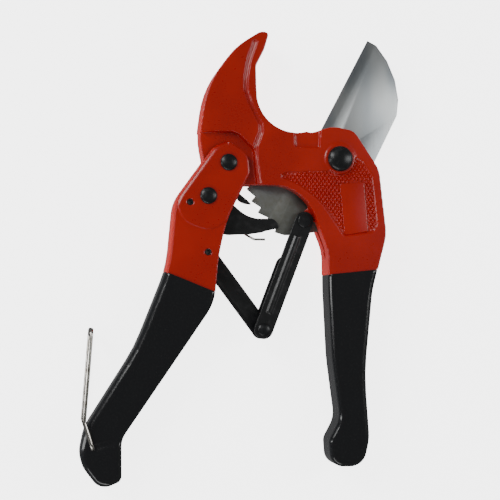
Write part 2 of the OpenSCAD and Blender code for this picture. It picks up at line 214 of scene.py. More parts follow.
def new_object(name: str, bm: bmesh.types.BMesh) -> bpy.types.Object:
    """Turns a mesh built in millimetres into an object in metres.

    Args:
        name: The object's name.
        bm: The mesh, which is freed.

    Returns:
        The new object, at the origin.
    """
    bmesh.ops.scale(bm, vec=(MM, MM, MM), verts=bm.verts)
    mesh = bpy.data.meshes.new(name)
    bm.to_mesh(mesh)
    bm.free()
    obj = bpy.data.objects.new(name, mesh)
    bpy.context.scene.collection.objects.link(obj)
    return obj


def slab(name: str, outline: Sequence[Vector], low: float, high: float) -> bpy.types.Object:
    """Extrudes a clockwise outline between two heights."""
    return crowned_slab(name, outline, low, high, lambda normal: 0.0, steps=1)


def crowned_slab(
    name: str,
    outline: Sequence[Vector],
    low: float,
    high: float,
    edge_radius: Callable[[Vector], float],
    steps: int = 6,
) -> bpy.types.Object:
    """Extrudes a clockwise outline and rounds its front and back edges.

    Args:
        name: The object's name.
        outline: The outline's points.
        low: The lowest height.
        high: The highest height.
        edge_radius: The edges' radius for an outward direction of the outline.
        steps: How many rings each rounded edge has.

    Returns:
        The closed solid.
    """
    directions = inward(outline)
    radii = [edge_radius(-d) for d in directions]
    for _ in range(6):
        radii = [(radii[i - 1] + r + radii[(i + 1) % len(radii)]) / 3 for i, r in enumerate(radii)]
    flat = max(radii) == 0.0
    quarter = [0.0] if flat else [math.pi / 2 * k / steps for k in range(steps + 1)]
    bm = bmesh.new()
    rings = []
    for end, turns in ((low, list(reversed(quarter))), (high, quarter)):
        sign = 1.0 if end == high else -1.0
        for turn in turns:
            ring = []
            for p, d, r in zip(outline, directions, radii):
                place = p + d * r * (1 - math.cos(turn))
                ring.append(bm.verts.new((place.x, place.y, end - sign * r * (1 - math.sin(turn)))))
            rings.append(ring)
    count = len(outline)
    for lower, upper in zip(rings, rings[1:]):
        for i in range(count):
            j = (i + 1) % count
            bm.faces.new((lower[i], lower[j], upper[j], upper[i]))
    bm.faces.new(list(reversed(rings[0])))
    bm.faces.new(rings[-1])
    bmesh.ops.recalc_face_normals(bm, faces=bm.faces)
    return new_object(name, bm)


def turned(
    name: str, centre: Point, profile: Sequence[tuple[float, float]], segments: int = 48
) -> bpy.types.Object:
    """Turns a profile about an axis along Z.

    Args:
        name: The object's name.
        centre: Where the axis stands.
        profile: Points (radius, height) from the bottom to the top; a radius of 0 closes a pole,
            and a profile that comes back to its first point makes a ring.
        segments: How many sides the piece has.

    Returns:
        The closed solid.
    """
    bm = bmesh.new()
    rings = []
    for radius, height in profile:
        if radius == 0.0:
            rings.append([bm.verts.new((centre[0], centre[1], height))])
            continue
        turns = [math.tau * k / segments for k in range(segments)]
        rings.append([
            bm.verts.new((centre[0] + radius * math.cos(a), centre[1] + radius * math.sin(a), height))
            for a in turns
        ])
    closed = profile[0] == profile[-1]
    if closed:
        rings[-1] = rings[0]
    for lower, upper in zip(rings, rings[1:]):
        for k in range(segments):
            m = (k + 1) % segments
            below = [lower[k % len(lower)], lower[m % len(lower)]]
            above = [upper[m % len(upper)], upper[k % len(upper)]]
            corners = below + above
            bm.faces.new(list(dict.fromkeys(corners)))
    loose = [v for v in bm.verts if not v.link_faces]
    bmesh.ops.delete(bm, geom=loose, context="VERTS")
    bmesh.ops.recalc_face_normals(bm, faces=bm.faces)
    obj = new_object(name, bm)
    smooth_by_angle(obj)
    return obj


def dome(radius: float, low: float, high: float, steps: int = 7) -> list[tuple[float, float]]:
    """Gives the profile of a dome from its rim at one height to its pole at another."""
    turns = [math.pi / 2 * k / steps for k in range(steps)]
    profile = [(radius * math.cos(a), low + (high - low) * math.sin(a)) for a in turns]
    return profile + [(0.0, high)]


def copy_of(node: str, name: str) -> bpy.types.Object:
    """Makes a merged copy of a CAD node's mesh, with its flat faces joined."""
    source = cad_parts[node]
    bm = bmesh.new()
    bm.from_mesh(source.data)
    bmesh.ops.remove_doubles(bm, verts=bm.verts, dist=2e-6)
    bmesh.ops.dissolve_limit(bm, angle_limit=math.radians(0.6), verts=bm.verts, edges=bm.edges)
    mesh = bpy.data.meshes.new(name)
    bm.to_mesh(mesh)
    bm.free()
    obj = bpy.data.objects.new(name, mesh)
    bpy.context.scene.collection.objects.link(obj)
    return obj


def applied(obj: bpy.types.Object) -> bpy.types.Object:
    """Replaces an object's mesh by its evaluated one and takes its modifiers off."""
    bpy.context.view_layer.update()
    depsgraph = bpy.context.evaluated_depsgraph_get()
    mesh = bpy.data.meshes.new_from_object(obj.evaluated_get(depsgraph))
    mesh.name = obj.name
    obj.modifiers.clear()
    obj.data = mesh
    return obj


def combined(obj: bpy.types.Object, tool: bpy.types.Object, keep: Keep) -> bpy.types.Object:
    """Combines two solids and removes the second.

    Args:
        obj: The solid that is kept.
        tool: The solid that it is combined with.
        keep: What is kept of the two.

    Returns:
        The first object with its new mesh.
    """
    modifier = obj.modifiers.new("combine", "BOOLEAN")
    modifier.operation = keep.value
    modifier.solver = "EXACT"
    modifier.object = tool
    applied(obj)
    bpy.data.objects.remove(tool)
    return obj


@contextmanager
def edited(obj: bpy.types.Object) -> Iterator[bmesh.types.BMesh]:
    """Opens an object's mesh for editing and writes it back at the end."""
    bm = bmesh.new()
    bm.from_mesh(obj.data)
    yield bm
    bm.to_mesh(obj.data)
    bm.free()


def smooth_by_angle(obj: bpy.types.Object, angle: float = 32.0) -> None:
    """Shades a mesh smooth, with its edges sharp past an angle in degrees."""
    limit = math.radians(angle)
    with edited(obj) as bm:
        for face in bm.faces:
            face.smooth = True
        for edge in bm.edges:
            edge.smooth = edge.is_manifold and edge.calc_face_angle(0.0) < limit


def softened(obj: bpy.types.Object, grain: float, passes: int) -> bpy.types.Object:
    """Gives a solid the rounded edges of a cast or dipped part.

    Args:
        obj: The closed solid.
        grain: The size of the new mesh's faces, in millimetres.
        passes: How many times the surface is relaxed, which sets the edges' radius.

    Returns:
        The same object with its new mesh.
    """
    remesh = obj.modifiers.new("grain", "REMESH")
    remesh.mode = "VOXEL"
    remesh.voxel_size = grain * MM
    remesh.use_smooth_shade = True
    relax = obj.modifiers.new("relax", "SMOOTH")
    relax.factor = 0.5
    relax.iterations = passes
    return applied(obj)


def thinned(obj: bpy.types.Object, triangles: int = 90000) -> bpy.types.Object:
    """Joins the faces that a softened mesh can spare and keeps its shading even.

    Args:
        obj: The softened solid.
        triangles: About how many triangles are left.

    Returns:
        The same object with its new mesh.
    """
    count = 2 * len(obj.data.polygons)
    if count > triangles:
        join = obj.modifiers.new("join", "DECIMATE")
        join.ratio = triangles / count
    shade = obj.modifiers.new("shade", "WEIGHTED_NORMAL")
    shade.weight = 60
    return applied(obj)


def bevelled(obj: bpy.types.Object, width: float, segments: int = 3) -> bpy.types.Object:
    """Bevels the sharp edges of a plain solid.

    Args:
        obj: The solid.
        width: The bevel's width, in millimetres.
        segments: How many faces the bevel has.

    Returns:
        The same object with its new mesh.
    """
    bevel = obj.modifiers.new("edges", "BEVEL")
    bevel.width = width * MM
    bevel.segments = segments
    bevel.limit_method = "ANGLE"
    bevel.angle_limit = math.radians(38)
    bevel.use_clamp_overlap = True
    applied(obj)
    smooth_by_angle(obj, 40.0)
    return obj


# ---------------------------------------------------------------- Geometry Nodes


def add_node(
    tree: bpy.types.NodeTree, kind: str, settings: dict | None, values: dict[str, object]
) -> bpy.types.Node:
    """Adds one node to a tree.

    Args:
        tree: The tree.
        kind: The node's type.
        settings: The node's own settings, set before its sockets.
        values: A constant, an output socket or a Value for each input, with _ for a space.

    Returns:
        The node.
    """
    node = tree.nodes.new(kind)
    for key, value in (settings or {}).items():
        setattr(node, key, value)
    for key, value in values.items():
        socket = node.inputs[key.replace("_", " ")]
        source = value.socket if isinstance(value, Value) else value
        if isinstance(source, bpy.types.NodeSocket):
            tree.links.new(source, socket)
        else:
            socket.default_value = source
    return node


class GeometryTree:
    """A Geometry Nodes tree with named inputs, built node by node."""

    def __init__(self, name: str) -> None:
        """Makes an empty tree with a geometry input and output."""
        self.tree = bpy.data.node_groups.new(name, "GeometryNodeTree")
        self.tree.interface.new_socket("Geometry", in_out="INPUT", socket_type="NodeSocketGeometry")
        self.tree.interface.new_socket("Geometry", in_out="OUTPUT", socket_type="NodeSocketGeometry")
        self.identifiers: dict[str, str] = {}

    def size(self, name: str, value: float) -> None:
        """Adds a named size in millimetres, with its default."""
        socket = self.tree.interface.new_socket(name, in_out="INPUT", socket_type="NodeSocketFloat")
        socket.default_value = value * MM
        self.identifiers[name] = socket.identifier

    def material(self, name: str) -> None:
        """Adds a named material input."""
        socket = self.tree.interface.new_socket(name, in_out="INPUT", socket_type="NodeSocketMaterial")
        self.identifiers[name] = socket.identifier

    def start(self) -> bpy.types.Node:
        """Makes the tree's input node, once its inputs are all named."""
        return self.tree.nodes.new("NodeGroupInput")

    def add(self, kind: str, settings: dict | None = None, **values: object) -> bpy.types.Node:
        """Adds one node; see add_node."""
        return add_node(self.tree, kind, settings, values)

    def end(self, given: bpy.types.Node, geometry: bpy.types.NodeSocket) -> None:
        """Makes the geometry real, gives it the named finish and links it to the output."""
        whole = self.add("GeometryNodeRealizeInstances", Geometry=geometry)
        dressed = self.add("GeometryNodeSetMaterial", Geometry=whole.outputs["Geometry"])
        self.tree.links.new(given.outputs["Finish"], dressed.inputs["Material"])
        output = self.tree.nodes.new("NodeGroupOutput")
        self.tree.links.new(dressed.outputs["Geometry"], output.inputs["Geometry"])

    def run(self, obj: bpy.types.Object, values: dict[str, object]) -> bpy.types.Object:
        """Runs the tree on an object and keeps the result as its plain mesh.

        Args:
            obj: The object that carries the points or the path.
            values: A value for each named input; sizes are in millimetres.

        Returns:
            The same object with its new mesh.
        """
        modifier = obj.modifiers.new(self.tree.name, "NODES")
        modifier.node_group = self.tree
        for name, value in values.items():
            modifier[self.identifiers[name]] = value * MM if isinstance(value, float) else value
        return applied(obj)


def wire_tree() -> GeometryTree:
    """Builds the tree that sweeps a round wire along a path of edges."""
    group = GeometryTree("round wire")
    group.size("Wire radius", 0.6)
    group.material("Finish")
    given = group.start()
    curve = group.add("GeometryNodeMeshToCurve", Mesh=given.outputs["Geometry"])
    ring = group.add("GeometryNodeCurvePrimitiveCircle", Resolution=14)
    group.tree.links.new(given.outputs["Wire radius"], ring.inputs["Radius"])
    sweep = group.add(
        "GeometryNodeCurveToMesh", Curve=curve.outputs["Curve"], Profile_Curve=ring.outputs["Curve"]
    )
    sweep.inputs["Fill Caps"].default_value = True
    group.end(given, sweep.outputs["Mesh"])
    return group


def knurl_tree() -> GeometryTree:
    """Builds the tree that stands a four-sided pyramid on every point."""
    group = GeometryTree("diamond knurl")
    group.size("Width", 2.2)
    group.size("Length", 3.3)
    group.size("Height", 0.75)
    group.material("Finish")
    given = group.start()
    cone = group.add(
        "GeometryNodeMeshCone",
        {"fill_type": "NGON"},
        Vertices=4,
        Radius_Top=0.0,
        Radius_Bottom=0.5,
        Depth=1.0,
    )
    scale = group.add("ShaderNodeCombineXYZ")
    for axis, name in (("X", "Width"), ("Y", "Length"), ("Z", "Height")):
        group.tree.links.new(given.outputs[name], scale.inputs[axis])
    stand = group.add(
        "GeometryNodeInstanceOnPoints",
        Points=given.outputs["Geometry"],
        Instance=cone.outputs["Mesh"],
        Scale=scale.outputs["Vector"],
    )
    group.end(given, stand.outputs["Instances"])
    return group


def points_object(name: str, points: Sequence[Vector], joined: bool) -> bpy.types.Object:
    """Makes an object of points given in millimetres, joined by edges into a path or left loose."""
    bm = bmesh.new()
    verts = [bm.verts.new(p) for p in points]
    if joined:
        for a, b in zip(verts, verts[1:]):
            bm.edges.new((a, b))
    return new_object(name, bm)


def helix(centre: Point, radius: float, start: float, turns: float, low: float, pitch: float) -> list[Vector]:
    """Gives the points of a coil about an axis along Z.

    Args:
        centre: Where the axis stands.
        radius: The coil's radius to the wire's middle.
        start: The first direction, in degrees.
        turns: How many turns it makes.
        low: Its first height.
        pitch: The rise of one turn.

    Returns:
        The points, COIL_POINTS for each turn and one more.
    """
    count = round(COIL_POINTS * turns)
    points = []
    for i in range(count + 1):
        a = math.radians(start) + math.tau * turns * i / count
        place = (centre[0] + radius * math.cos(a), centre[1] + radius * math.sin(a))
        points.append(Vector((*place, low + pitch * turns * i / count)))
    return points


def bent(path: Sequence[Vector], radius: float) -> list[Vector]:
    """Rounds the inner corners of a wire's path.

    Args:
        path: The path's corners.
        radius: The bend's radius.

    Returns:
        The path's points, with seven for each bend.
    """
    result = [path[0]]
    for before, here, after in zip(path, path[1:], path[2:]):
        u = before - here
        v = after - here
        half = max(0.05, u.angle(v) / 2)
        reach = min(radius / math.tan(half), 0.45 * u.length, 0.45 * v.length)
        a = here + u.normalized() * reach
        b = here + v.normalized() * reach
        for k in range(BEND_POINTS):
            q = k / (BEND_POINTS - 1)
            result.append((1 - q) ** 2 * a + 2 * q * (1 - q) * here + q * q * b)
    result.append(path[-1])
    return result


# ---------------------------------------------------------------- shaders


class Value:
    """A number that varies over the surface; sums and products of it add Math nodes."""

    def __init__(self, shader: "Shader", socket: bpy.types.NodeSocket) -> None:
        """Wraps an output socket of a shader's tree."""
        self.shader = shader
        self.socket = socket

    def _math(self, operation: str, one: object, two: object = None) -> "Value":
        """Adds a Math node on one or two values."""
        node = self.shader.add("ShaderNodeMath", {"operation": operation})
        for i, operand in enumerate((one, two)):
            if isinstance(operand, Value):
                self.shader.tree.links.new(operand.socket, node.inputs[i])
            elif operand is not None:
                node.inputs[i].default_value = operand
        return Value(self.shader, node.outputs[0])

    def __add__(self, other: object) -> "Value":
        """Adds."""
        return self._math("ADD", self, other)

    __radd__ = __add__

    def __sub__(self, other: object) -> "Value":
        """Subtracts."""
        return self._math("SUBTRACT", self, other)

    def __rsub__(self, other: object) -> "Value":
        """Subtracts from a number."""
        return self._math("SUBTRACT", other, self)

    def __mul__(self, other: object) -> "Value":
        """Multiplies."""
        return self._math("MULTIPLY", self, other)

    __rmul__ = __mul__

    def __truediv__(self, other: object) -> "Value":
        """Divides."""
        return self._math("DIVIDE", self, other)

    def clamped(self) -> "Value":
        """Keeps the value between 0 and 1."""
        result = self + 0.0
        result.socket.node.use_clamp = True
        return result

    def root(self) -> "Value":
        """Takes the square root."""
        return self._math("SQRT", self)


class Shader:
    """A material whose node tree is written as expressions."""

    def __init__(self, name: str) -> None:
        """Makes a material with an empty Principled shader."""
        self.material = bpy.data.materials.new(name)
        self.material.use_nodes = True
        self.tree = self.material.node_tree
        self.surface = self.tree.nodes["Principled BSDF"]
        self.place = self.add("ShaderNodeTexCoord").outputs["Object"]

    def add(self, kind: str, settings: dict | None = None, **values: object) -> bpy.types.Node:
        """Adds one node; see add_node."""
        return add_node(self.tree, kind, settings, values)

    def noise(
        self, cell: float, detail: float = 3.0, stretch: Vector | None = None, turn: float = 0.0
    ) -> Value:
        """Gives a noise pattern.

        Args:
            cell: The size of its cells, in millimetres.
            detail: Its octaves.
            stretch: How much each axis is stretched.
            turn: The pattern's turn about Z, in degrees.

        Returns:
            The noise, about 0.5.
        """
        factor = stretch or Vector((1, 1, 1))
        mapping = self.add(
            "ShaderNodeMapping",
            {"vector_type": "POINT"},
            Vector=self.place,
            Rotation=(0.0, 0.0, math.radians(turn)),
            Scale=tuple(1 / f for f in factor),
        )
        node = self.add(
            "ShaderNodeTexNoise", Vector=mapping.outputs["Vector"], Scale=1 / (cell * MM), Detail=detail
        )
        return Value(self, node.outputs["Factor"] if "Factor" in node.outputs else node.outputs["Fac"])

    def axis(self, name: str) -> Value:
        """Gives one coordinate of the surface, in millimetres."""
        split = self.add("ShaderNodeSeparateXYZ", Vector=self.place)
        return Value(self, split.outputs[name]) / MM

    def distance(self, centre: Point) -> Value:
        """Gives the distance from an axis along Z, in millimetres."""
        x = self.axis("X") - centre[0]
        y = self.axis("Y") - centre[1]
        return (x * x + y * y).root()

    def step(self, value: Value, low: float, high: float) -> Value:
        """Rises smoothly from 0 at one value to 1 at another."""
        node = self.add("ShaderNodeMapRange", {"interpolation_type": "SMOOTHSTEP"}, Value=value)
        node.inputs["From Min"].default_value = low
        node.inputs["From Max"].default_value = high
        return Value(self, node.outputs["Result"])

    def mix(self, mask: Value, low: object, high: object) -> bpy.types.NodeSocket:
        """Mixes two colours, each a socket or a red, green, blue triple."""
        node = self.add("ShaderNodeMix", {"data_type": "RGBA"})
        self.tree.links.new(mask.socket, node.inputs[0])
        for socket, colour in ((node.inputs[6], low), (node.inputs[7], high)):
            if isinstance(colour, bpy.types.NodeSocket):
                self.tree.links.new(colour, socket)
            else:
                socket.default_value = (*colour, 1.0)
        return node.outputs[2]

    def set(self, **values: object) -> None:
        """Sets constants on the Principled shader's own sockets."""
        for key, value in values.items():
            self.surface.inputs[key.replace("_", " ")].default_value = value

    def feed(self, name: str, source: object) -> None:
        """Feeds a socket of the Principled shader with a value or a colour."""
        link = source.socket if isinstance(source, Value) else source
        self.tree.links.new(link, self.surface.inputs[name])

    def relief(self, height: Value, depth: float, strength: float = 1.0) -> None:
        """Feeds the normal with a bump.

        Args:
            height: The pattern, from 0 to 1.
            depth: Its depth, in millimetres.
            strength: How strongly it shows.
        """
        node = self.add("ShaderNodeBump", Strength=strength, Distance=depth * MM, Height=height)
        self.tree.links.new(node.outputs["Normal"], self.surface.inputs["Normal"])


@dataclass(frozen=True)
class RedEnamel:
    """Glossy red enamel, baked on a die casting."""

    colour: Colour = (0.40, 0.010, 0.004)
    shade: Colour = (0.33, 0.007, 0.003)
    roughness: float = 0.3
    peel: float = 0.004

    def material(self) -> bpy.types.Material:
        """Builds the material."""
        shader = Shader("red_enamel")
        clouds = shader.noise(26.0, 2.0)
        grain = shader.noise(1.4, 2.0)
        shader.feed("Base Color", shader.mix(shader.step(clouds, 0.32, 0.72), self.shade, self.colour))
        shader.feed("Roughness", self.roughness + (grain - 0.5) * 0.12 + (clouds - 0.5) * 0.1)
        shader.set(Specular_IOR_Level=0.4, Coat_Weight=0.3, Coat_Roughness=0.1)
        shader.relief(grain, self.peel, 0.6)
        return shader.material


@dataclass(frozen=True)
class BlackDip:
    """Thick glossy black plastic that the handles are dipped in."""

    colour: Colour = (0.006, 0.0065, 0.0075)
    smear: Colour = (0.011, 0.0115, 0.012)

    def material(self) -> bpy.types.Material:
        """Builds the material."""
        shader = Shader("black_dip")
        runs = shader.noise(9.0, 2.0, Vector((1, 3, 1)), 25.0)
        dust = shader.noise(0.9, 3.0)
        shader.feed("Base Color", shader.mix(shader.step(dust, 0.5, 0.75), self.colour, self.smear))
        shader.feed("Roughness", 0.17 + (runs - 0.5) * 0.12 + shader.step(dust, 0.6, 0.8) * 0.12)
        shader.set(Specular_IOR_Level=0.5, Coat_Weight=0.25, Coat_Roughness=0.08)
        shader.relief(runs, 0.05, 0.3)
        return shader.material


@dataclass(frozen=True)
class BladeSteel:
    """Ground blade steel, bright at the edge and raw on the toothed tail, with painted shade where the tail
    runs under the body.
    """

    bright: Colour = (0.41, 0.43, 0.43)
    blue: Colour = (0.29, 0.32, 0.34)
    raw: Colour = (0.175, 0.175, 0.15)
    # Painted shade: the near-black colour laid on the tail where it runs under the body's cheeks
    painted_shade: Colour = (0.03, 0.03, 0.028)
    grind_turn: float = -28.0

    def material(self) -> bpy.types.Material:
        """Builds the material."""
        shader = Shader("blade_steel")
        lines = shader.noise(0.35, 2.0, Vector((1, 38, 1)), self.grind_turn)
        facets = shader.noise(17.0, 1.0, Vector((1, 2.4, 1)), self.grind_turn)
        mottle = shader.noise(2.4, 4.0)
        tail = 1 - shader.step(shader.axis("Y"), -58.0, -42.0)
        # Painted shade: the tail within about 34 mm of the pivot, under the body's cheeks, is darkened
        # towards the painted shade colour
        slot = shader.step(shader.distance(BLADE_PIVOT), 28.0, 34.0)
        painted_shade_mask = tail * (1 - slot)
        steel = shader.mix(shader.step(facets, 0.36, 0.66), self.blue, self.bright)
        aged = shader.mix(tail * (0.55 + mottle * 0.6), steel, self.raw)
        shader.feed("Base Color", shader.mix((painted_shade_mask * 0.8).clamped(), aged, self.painted_shade))
        shader.feed("Roughness", 0.3 + lines * 0.16 + tail * 0.16 + (facets - 0.5) * 0.1)
        shader.set(Metallic=1.0)
        shader.relief(lines, 0.012, 0.5)
        return shader.material


@dataclass(frozen=True)
class DarkSteel:
    """Steel with a dark finish; the name, colour and gloss tell one finish from another."""

    name: str
    colour: Colour
    rub: Colour
    roughness: float
    metallic: float = 0.0

    def material(self) -> bpy.types.Material:
        """Builds the material."""
        shader = Shader(self.name)
        patches = shader.noise(3.2, 3.0)
        pits = shader.noise(0.5, 2.0)
        shader.feed("Base Color", shader.mix(shader.step(patches, 0.5, 0.78), self.colour, self.rub))
        shader.feed("Roughness", self.roughness + (patches - 0.5) * 0.16 + (pits - 0.5) * 0.08)
        shader.set(Metallic=self.metallic, Specular_IOR_Level=0.5)
        shader.relief(pits, 0.02, 0.5)
        return shader.material


@dataclass(frozen=True)
class BrightMetal:
    """Plated or drawn metal with fine streaks."""

    name: str
    colour: Colour
    dull: Colour
    roughness: float

    def material(self) -> bpy.types.Material:
        """Builds the material."""
        shader = Shader(self.name)
        streaks = shader.noise(0.4, 2.0, Vector((1, 9, 1)))
        tarnish = shader.noise(5.0, 3.0)
        shader.feed("Base Color", shader.mix(shader.step(tarnish, 0.45, 0.75), self.colour, self.dull))
        shader.feed("Roughness", self.roughness + streaks * 0.14)
        shader.set(Metallic=1.0)
        shader.relief(streaks, 0.008, 0.5)
        return shader.material


@dataclass
class Finishes:
    """Every finish of the tool, made once and looked up by name."""

    made: dict[str, bpy.types.Material] = field(default_factory=dict)

    def build(self) -> "Finishes":
        """Builds all the materials."""
        self.made = {
            "red_enamel": RedEnamel().material(),
            "black_dip": BlackDip().material(),
            "blade_steel": BladeSteel().material(),
            "black_oxide": DarkSteel(
                "black_oxide", (0.012, 0.013, 0.014), (0.035, 0.036, 0.037), 0.3, 0.35).material(),
            "black_steel": DarkSteel(
                "black_steel", (0.008, 0.0085, 0.009), (0.018, 0.018, 0.019), 0.3).material(),
            "pin_steel": DarkSteel("pin_steel", (0.1, 0.1, 0.1), (0.2, 0.19, 0.18), 0.35, 1.0).material(),
            "spring_wire": BrightMetal("spring_wire", (0.5, 0.49, 0.45), (0.3, 0.28, 0.24), 0.22).material(),
            "bail_wire": BrightMetal("bail_wire", (0.55, 0.53, 0.49), (0.3, 0.27, 0.23), 0.12).material(),
            "bright_zinc": BrightMetal("bright_zinc", (0.6, 0.6, 0.6), (0.4, 0.4, 0.41), 0.25).material(),
        }
        return self

    def give(self, obj: bpy.types.Object, slot: str) -> None:
        """Gives an object one finish."""
        obj.data.materials.clear()
        obj.data.materials.append(self.made[slot])


def hand_over(obj: bpy.types.Object, body: str, slot: str, finishes: Finishes, *nodes: str) -> None:
    """Dresses a finished piece, ties it to its body and hides the CAD nodes it stands for.

    Args:
        obj: The finished piece.
        body: The body that it rides on.
        slot: The finish that it takes.
        finishes: The tool's finishes.
        *nodes: The CAD nodes that it stands for.
    """
    finishes.give(obj, slot)
    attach(obj, body)
    if nodes:
        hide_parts(*nodes)
    LOG.info("%s: %d faces, rides on %s", obj.name, len(obj.data.polygons), body)


# ---------------------------------------------------------------- sub-assemblies


def block_beyond(line: tuple[Point, Point], reach: float, drop: float = 0.0) -> bpy.types.Object:
    """Makes a large block on one side of a coat's upper edge.

    Args:
        line: The edge, from left to right.
        reach: How far the block goes: above zero towards the jaw, below zero towards the foot.
        drop: How far below the edge the block starts.

    Returns:
        The block.
    """
    first, last = (Vector(p) - Vector((0, drop)) for p in line)
    along = BLOCK_SIDE * (last - first).normalized()
    near = [first - along, last + along]
    far = [p + Vector((0, reach)) for p in near]
    low, high = (near, far) if reach > 0 else (far, near)
    return slab("cut", [low[0], high[0], high[1], low[1]], -BLOCK_HALF, BLOCK_HALF)


def without_dipped_part(obj: bpy.types.Object, line: tuple[Point, Point]) -> bpy.types.Object:
    """Takes away the part of a casting that its coat hides."""
    return combined(obj, block_beyond(line, -BLOCK_REACH, HIDDEN_DROP), Keep.OUTSIDE)


@dataclass
class Body:
    """The fixed half: hooked jaw, pipe seat, knurled panels and dipped handle."""

    half: float = 9.0
    coat: float = 0.8
    panel_depth: float = 0.9
    knurl_width: float = 2.15
    knurl_length: float = 3.2
    knurl_height: float = 0.8
    plate: tuple[Corner, ...] = (
        (23.5, -47.7, 1), (36.8, -46.7, 1), (38.9, -72.9, 1), (26.1, -75.0, 1),
    )
    plate_gap: float = 0.7
    plate_rise: float = 0.62
    plate_edge: float = 0.3
    bolt_ring: float = 8.0
    grip_edge: float = 2.6

    def casting(self) -> bpy.types.Object:
        """Makes the casting with soft edges, down to just inside its coat."""
        obj = without_dipped_part(copy_of("body_casting", "body_casting_shell"), BODY_DIP)
        return thinned(softened(obj, 0.5, 5))

    def plates(self) -> bpy.types.Object:
        """Makes the plain raised plate in the middle of each panel."""
        outline = rounded(self.plate)
        floor = self.half - self.panel_depth
        top = floor + self.plate_rise
        front = crowned_slab("panel_plates", outline, floor - 1, top, lambda n: self.plate_edge, 3)
        back = crowned_slab("plate_back", outline, -top, 1 - floor, lambda n: self.plate_edge, 3)
        combined(front, back, Keep.BOTH)
        smooth_by_angle(front, 50)
        return front

    def knurl_points(self) -> list[Vector]:
        """Gives the centres of the pyramids on the front panel, in offset rows."""
        outline = rounded(PANEL)
        plate = rounded(self.plate)
        middle = sum(plate, Vector((0, 0))) / len(plate)
        grown = [p + (p - middle).normalized() * self.plate_gap for p in plate]
        points = []
        rows = round(45 / (self.knurl_length / 2))
        columns = round(60 / self.knurl_width)
        for row in range(rows):
            for column in range(columns):
                x = -12 + (column + row % 2 / 2) * self.knurl_width
                place = Vector((x, -77 + row * self.knurl_length / 2))
                clear_of_ring = (place - Vector(BLADE_PIVOT)).length > self.bolt_ring
                if clear_of_ring and is_inside(place, outline) and not is_inside(place, grown):
                    points.append(place.to_3d())
        return points

    def knurl(self, side: Side, tree: GeometryTree, finish: bpy.types.Material) -> bpy.types.Object:
        """Makes the diamond knurl of one panel.

        Args:
            side: The face that the panel is on.
            tree: The tree that stands a pyramid on each point.
            finish: The casting's finish.

        Returns:
            The knurl as one plain mesh.
        """
        obj = points_object(f"panel_knurl_{side.name.lower()}", self.knurl_points(), False)
        sizes = {"Width": self.knurl_width, "Length": self.knurl_length, "Height": self.knurl_height}
        tree.run(obj, {**sizes, "Finish": finish})
        floor = (self.half - self.panel_depth) * MM
        with edited(obj) as bm:
            bmesh.ops.translate(bm, vec=(0, 0, floor), verts=bm.verts)
            if side is Side.BACK:
                for vertex in bm.verts:
                    vertex.co.z = -vertex.co.z
                bmesh.ops.reverse_faces(bm, faces=bm.faces)
        return obj

    def grip(self) -> bpy.types.Object:
        """Makes the handle's dipped coat as one soft closed form."""
        outline = rounded(BODY)
        top = self.half + self.coat
        obj = crowned_slab("body_grip_coat", outline, -top, top, lambda n: self.grip_edge)
        combined(obj, block_beyond(BODY_DIP, BLOCK_REACH), Keep.OUTSIDE)
        return thinned(softened(obj, 0.55, 3))

    def build(self, finishes: Finishes, knurling: GeometryTree) -> None:
        """Builds and dresses every piece of the body."""
        hand_over(self.casting(), "body", "red_enamel", finishes, "body_casting")
        hand_over(self.plates(), "body", "red_enamel", finishes)
        for side in Side:
            obj = self.knurl(side, knurling, finishes.made["red_enamel"])
            hand_over(obj, "body", "red_enamel", finishes)
        hand_over(self.grip(), "body", "black_dip", finishes, "body_grip")


@dataclass
class Lever:
    """The moving half: two ears, a hollow inner side and a dipped handle."""

    half: float = 9.0
    ear_half: float = 9.6
    coat: float = 0.8
    channel_half: float = 6.0
    outer_edge: float = 2.9
    inner_edge: float = 0.9
    coat_outer_edge: float = 3.4
    coat_inner_edge: float = 2.0
    crease_depth: float = 0.9
    crease_width: float = 1.7

    def edge(self, normal: Vector) -> float:
        """Gives the edges' radius: large on the side away from the body."""
        outwards = max(0.0, normal.dot(Vector((-0.97, 0.22))))
        return self.inner_edge + (self.outer_edge - self.inner_edge) * min(1.0, 1.6 * outwards)

    def coat_edge(self, normal: Vector) -> float:
        """Gives the coat's edges' radius: smaller on the side towards the body."""
        return self.coat_outer_edge if normal.x < 0.2 else self.coat_inner_edge

    def casting(self) -> bpy.types.Object:
        """Makes the casting: the CAD shape within a form with a rounded back."""
        obj = copy_of("lever_casting", "lever_casting_shell")
        form = crowned_slab("form", rounded(LEVER), -self.ear_half, self.ear_half, self.edge)
        combined(obj, form, Keep.COMMON)
        without_dipped_part(obj, LEVER_DIP)
        return thinned(softened(obj, 0.45, 4))

    def grip(self) -> bpy.types.Object:
        """Makes the handle's dipped coat, hollow where the channel runs on."""
        top = self.half + self.coat
        outline = rounded(LEVER)
        obj = crowned_slab("lever_grip_coat", outline, -top, top, self.coat_edge)
        combined(obj, block_beyond(LEVER_DIP, BLOCK_REACH), Keep.OUTSIDE)
        channel = slab("channel", rounded(CHANNEL)[::-1], -self.channel_half, self.channel_half)
        combined(obj, channel, Keep.OUTSIDE)
        softened(obj, 0.55, 3)
        self.crease(obj)
        return thinned(obj)

    def crease(self, obj: bpy.types.Object) -> None:
        """Presses the fold above the foot, where the coat gathers round the bail's end."""
        start = Vector(BAIL_PIVOT) + Vector((1.5, 1.2))
        end = start + Vector((12.0, 3.0))
        along = end - start
        for vertex in obj.data.vertices:
            place = Vector((vertex.co.x, vertex.co.y)) / MM
            share = max(0.0, min(1.0, (place - start).dot(along) / along.length_squared))
            off = (place - start - along * share).length / self.crease_width
            fade = 1 - 0.6 * share
            vertex.co.z *= 1 - self.crease_depth / self.half * fade * math.exp(-off * off)

    def build(self, finishes: Finishes) -> None:
        """Builds and dresses the lever's casting and coat."""
        hand_over(self.casting(), "lever", "red_enamel", finishes, "lever_casting")
        hand_over(self.grip(), "lever", "black_dip", finishes, "lever_grip")


